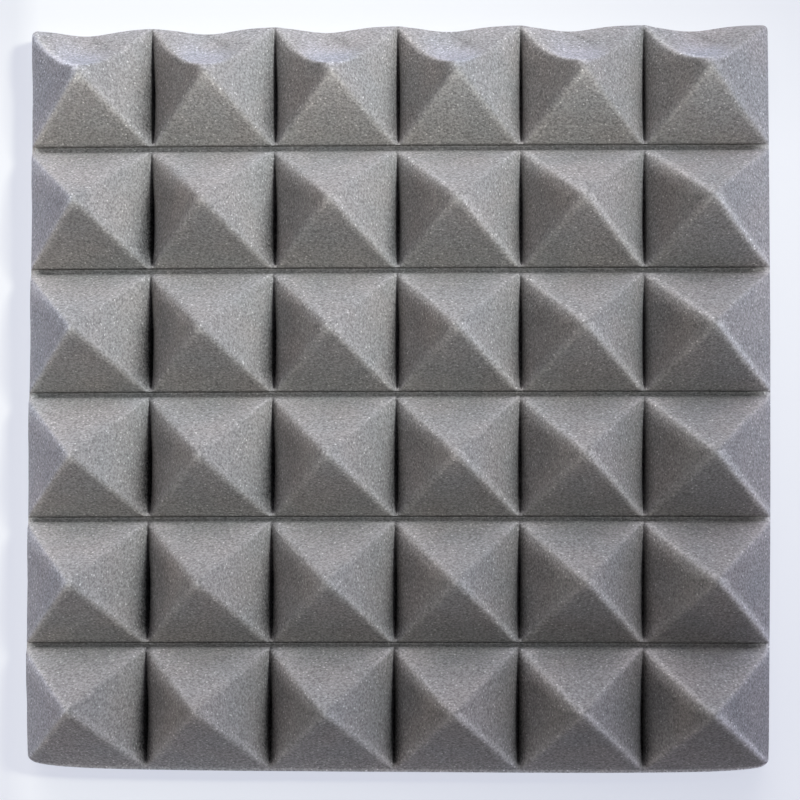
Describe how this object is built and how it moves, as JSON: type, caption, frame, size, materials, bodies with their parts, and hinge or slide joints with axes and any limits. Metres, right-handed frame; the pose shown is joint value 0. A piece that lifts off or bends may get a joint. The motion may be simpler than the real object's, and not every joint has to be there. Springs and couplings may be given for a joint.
{
  "type": "acoustic foam panel",
  "caption": "Square open-cell foam wall tile with a face of sharp pyramids, and stick-on pads with peelable liners on its flat back.",
  "frame": {"origin": "middle of the tile's outline, on the plane that the release liners rest on", "axes": "+Z out of the back towards the pyramid tips, +Y up and +X right as the tile hangs on a wall"},
  "size_m": [0.298, 0.2994, 0.0512],
  "materials": {
    "foam": "matte",
    "pad_tape": "matte",
    "liner_paper": "satin"
  },
  "bodies": {
    "root": {"foam_tile": "foam", "mounting_pad_upper_left": "pad_tape", "mounting_pad_upper_right": "pad_tape", "mounting_pad_lower_left": "pad_tape", "mounting_pad_lower_right": "pad_tape", "mounting_pad_centre": "pad_tape", "release_liner_upper_left": "liner_paper", "release_liner_upper_right": "liner_paper", "release_liner_lower_left": "liner_paper", "release_liner_lower_right": "liner_paper", "release_liner_centre": "liner_paper"}
  },
  "joints": []
}
